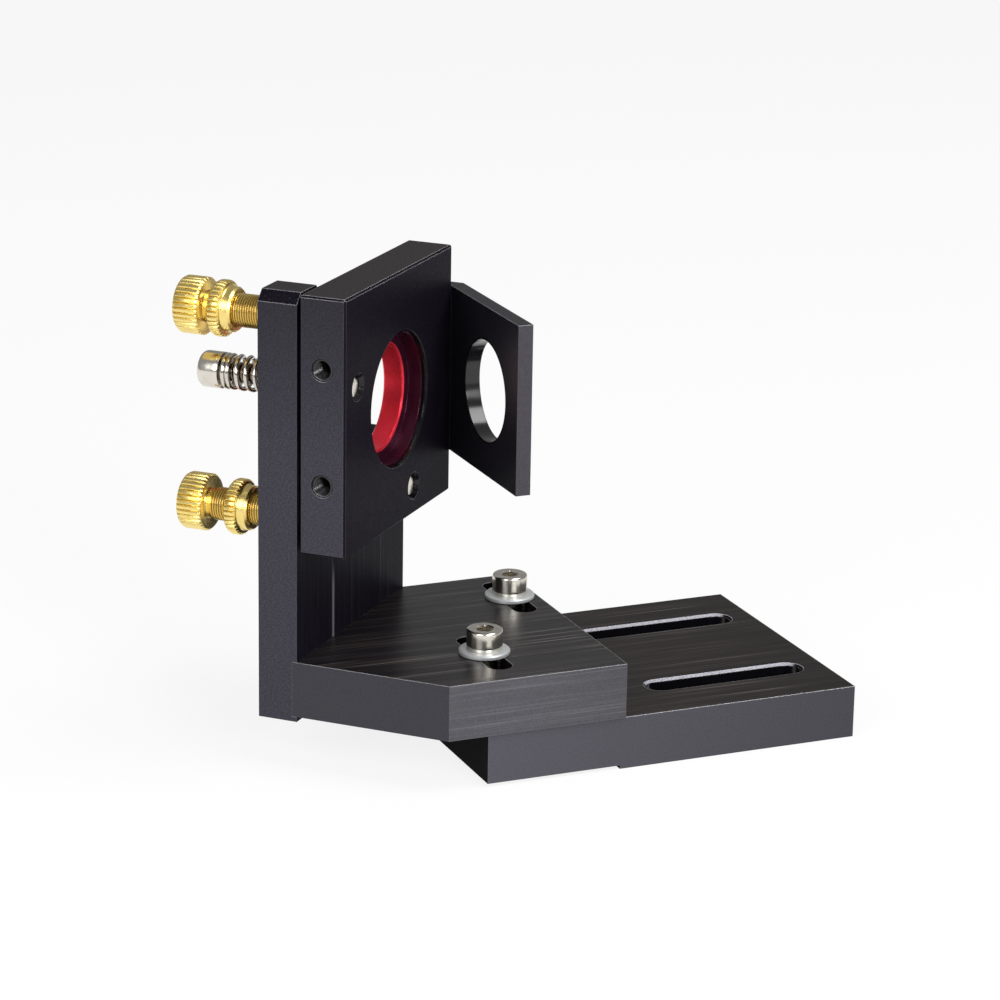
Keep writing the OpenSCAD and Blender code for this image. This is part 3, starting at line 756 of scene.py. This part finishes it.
for place, at in (("near", NEAR_CLAMP), ("far", FAR_CLAMP)):
    name, node_name = place + "_plain_washer", place + "_clamp_washer"
    underside = [(WASHER_BORE_R, 0.02), (4.7, 0.02), (4.93, 0.12)]
    rim = [(WASHER_R, 0.4), (4.95, 0.75), (4.7, 0.96)]
    top = [(4.5, WASHER_T), (2.35, WASHER_T), (WASHER_BORE_R, 0.85)]
    lay = Matrix.Translation((*at, BASE_TOP))
    piece(name, turned(underside + rim + top), lay, ZINC, "lower", node_name)

# The open tapped holes in the mirror plate's near side: the thread starts below the hole's mouth.
for place, z in (("upper", ABOVE_MIDDLE), ("lower", BELOW_MIDDLE)):
    thread = tapped(M4_R - 0.02, M4_PITCH, 8.4)
    lay = on_mirror(PLATE_U, (0.3, z), ALONG_V)
    piece(place + "_side_thread", thread, lay, GLOSSY_THREAD, "mirror", None)


def spring(length, wire=0.95, across=7.0, closed=1.5, working=3.5, steps=36):
    """A round wire wound with closed turns at each end and working turns between, as wide across as
    given."""
    bm = bmesh.new()
    ring = bmesh.ops.create_circle(bm, cap_ends=True, radius=wire / 2, segments=12)["verts"]
    bmesh.ops.rotate(bm, verts=ring, cent=(0, 0, 0), matrix=Matrix.Rotation(math.pi / 2, 3, "X"))
    bmesh.ops.translate(bm, verts=ring, vec=((across - wire) / 2, 0, wire / 2))
    end = bm.edges[:]
    for turns, rise in (
        (closed, wire),
        (working, (length - (1 + 2 * closed) * wire) / working),
        (closed, wire),
    ):
        spun = bmesh.ops.spin(
            bm,
            geom=end,
            cent=(0, 0, 0),
            axis=(0, 0, 1),
            dvec=(0, 0, rise / steps),
            angle=math.tau * turns,
            steps=round(steps * turns),
        )
        end = [g for g in spun["geom_last"] if isinstance(g, bmesh.types.BMEdge)]
    bmesh.ops.contextual_create(bm, geom=end)
    return bm


# A spring follows one joint only, so its foot, hidden in the upright's pocket, leaves room for the third
# adjuster.
SPRING_FOOT, SPRING_ROOM = -6.5, 0.55
SPRING_START = SPRUNG_U + 0.01
for name, at, joint, node_name in (
    ("side_coil_spring", SIDE_SPRING, "mirror_tilt", "side_spring"),
    ("bottom_coil_spring", BOTTOM_SPRING, "mirror_pan", "bottom_spring"),
):
    wire = spring(SPRING_FOOT - SPRING_ROOM - SPRING_START)
    lay = on_mirror(SPRING_START, at)
    coil = piece(name, wire, lay, SPRING_STEEL, "mirror", node_name, 60)
    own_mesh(coil)

# ---------------------------------------------------------------- camera
azimuth, height, roll = (math.radians(a) for a in (-23.052, 17.188, 0.964))
flat_back = Vector((math.sin(azimuth), -math.cos(azimuth), 0))
back = math.cos(height) * flat_back + math.sin(height) * Vector(UP)
level = Vector(UP).cross(back).normalized()
rise = level.cross(-back)
right = math.cos(roll) * level + math.sin(roll) * rise
above = math.cos(roll) * rise - math.sin(roll) * level
camera = bpy.data.objects.new("camera", bpy.data.cameras.new("camera"))
camera.data.lens = 130.66
camera.data.sensor_width = 36
camera.data.clip_start = 0.01
eye = Vector((-288.341, -619.573, 254.992)) * MM
camera.matrix_world = Matrix.Translation(eye) @ Matrix((right, above, back)).transposed().to_4x4()
scene.collection.objects.link(camera)
scene.camera = camera

# ---------------------------------------------------------------- studio
scene.view_settings.view_transform = "Standard"


def softbox(name, size, place, target, power):
    """A rectangular white lamp that faces a target, in metres and watts."""
    lamp = bpy.data.lights.new(name, "AREA")
    lamp.shape = "RECTANGLE"
    lamp.size, lamp.size_y = size
    lamp.energy = power
    obj = bpy.data.objects.new(name, lamp)
    obj.location = place
    obj.rotation_euler = (Vector(place) - Vector(target)).to_track_quat("Z", "Y").to_euler()
    scene.collection.objects.link(obj)


mount_middle = (-0.02, 0, 0.05)
softbox("softbox_left", (0.6, 0.6), (-0.8, -0.55, 0.55), mount_middle, 4.7)
softbox("softbox_front", (0.5, 0.3), (0.1, -1.0, 0.45), mount_middle, 7)
softbox("softbox_above", (0.6, 0.6), (0.42, -0.33, 1.1), mount_middle, 7.5)

world = bpy.data.worlds.new("studio")
scene.world = world
world.use_nodes = True
tree = world.node_tree
tree.nodes.clear()
room = add(tree, "Background", {"Color": colour("ffffff"), "Strength": 0.3})
add(tree, "OutputWorld", {"Surface": room})

# white paper: the camera and shiny pieces see it lit evenly, and shadows stay on it
table, tree = new_finish("white_table")
paper = add(tree, "BsdfPrincipled", {"Base Color": colour("f4f4f4"), "Roughness": 0.9})
glow = add(tree, "Emission", {"Color": colour("ffffff"), "Strength": 1.0})
seen = add(tree, "LightPath", out="Is Camera Ray")
for ray in ("Is Glossy Ray", "Is Transmission Ray"):
    seen = add(tree, "Math", {0: seen, 1: add(tree, "LightPath", out=ray)}, operation="MAXIMUM")
share = add(tree, "Math", {0: seen, 1: 0.85}, operation="MULTIPLY")
add(tree, "OutputMaterial", {"Surface": add(tree, "MixShader", {0: share, 1: paper, 2: glow})})
bm = bmesh.new()
bmesh.ops.create_grid(bm, x_segments=1, y_segments=1, size=4)
mesh = bpy.data.meshes.new("table")
bm.to_mesh(mesh)
bm.free()
mesh.materials.append(table)
floor = bpy.data.objects.new("table", mesh)
scene.collection.objects.link(floor)
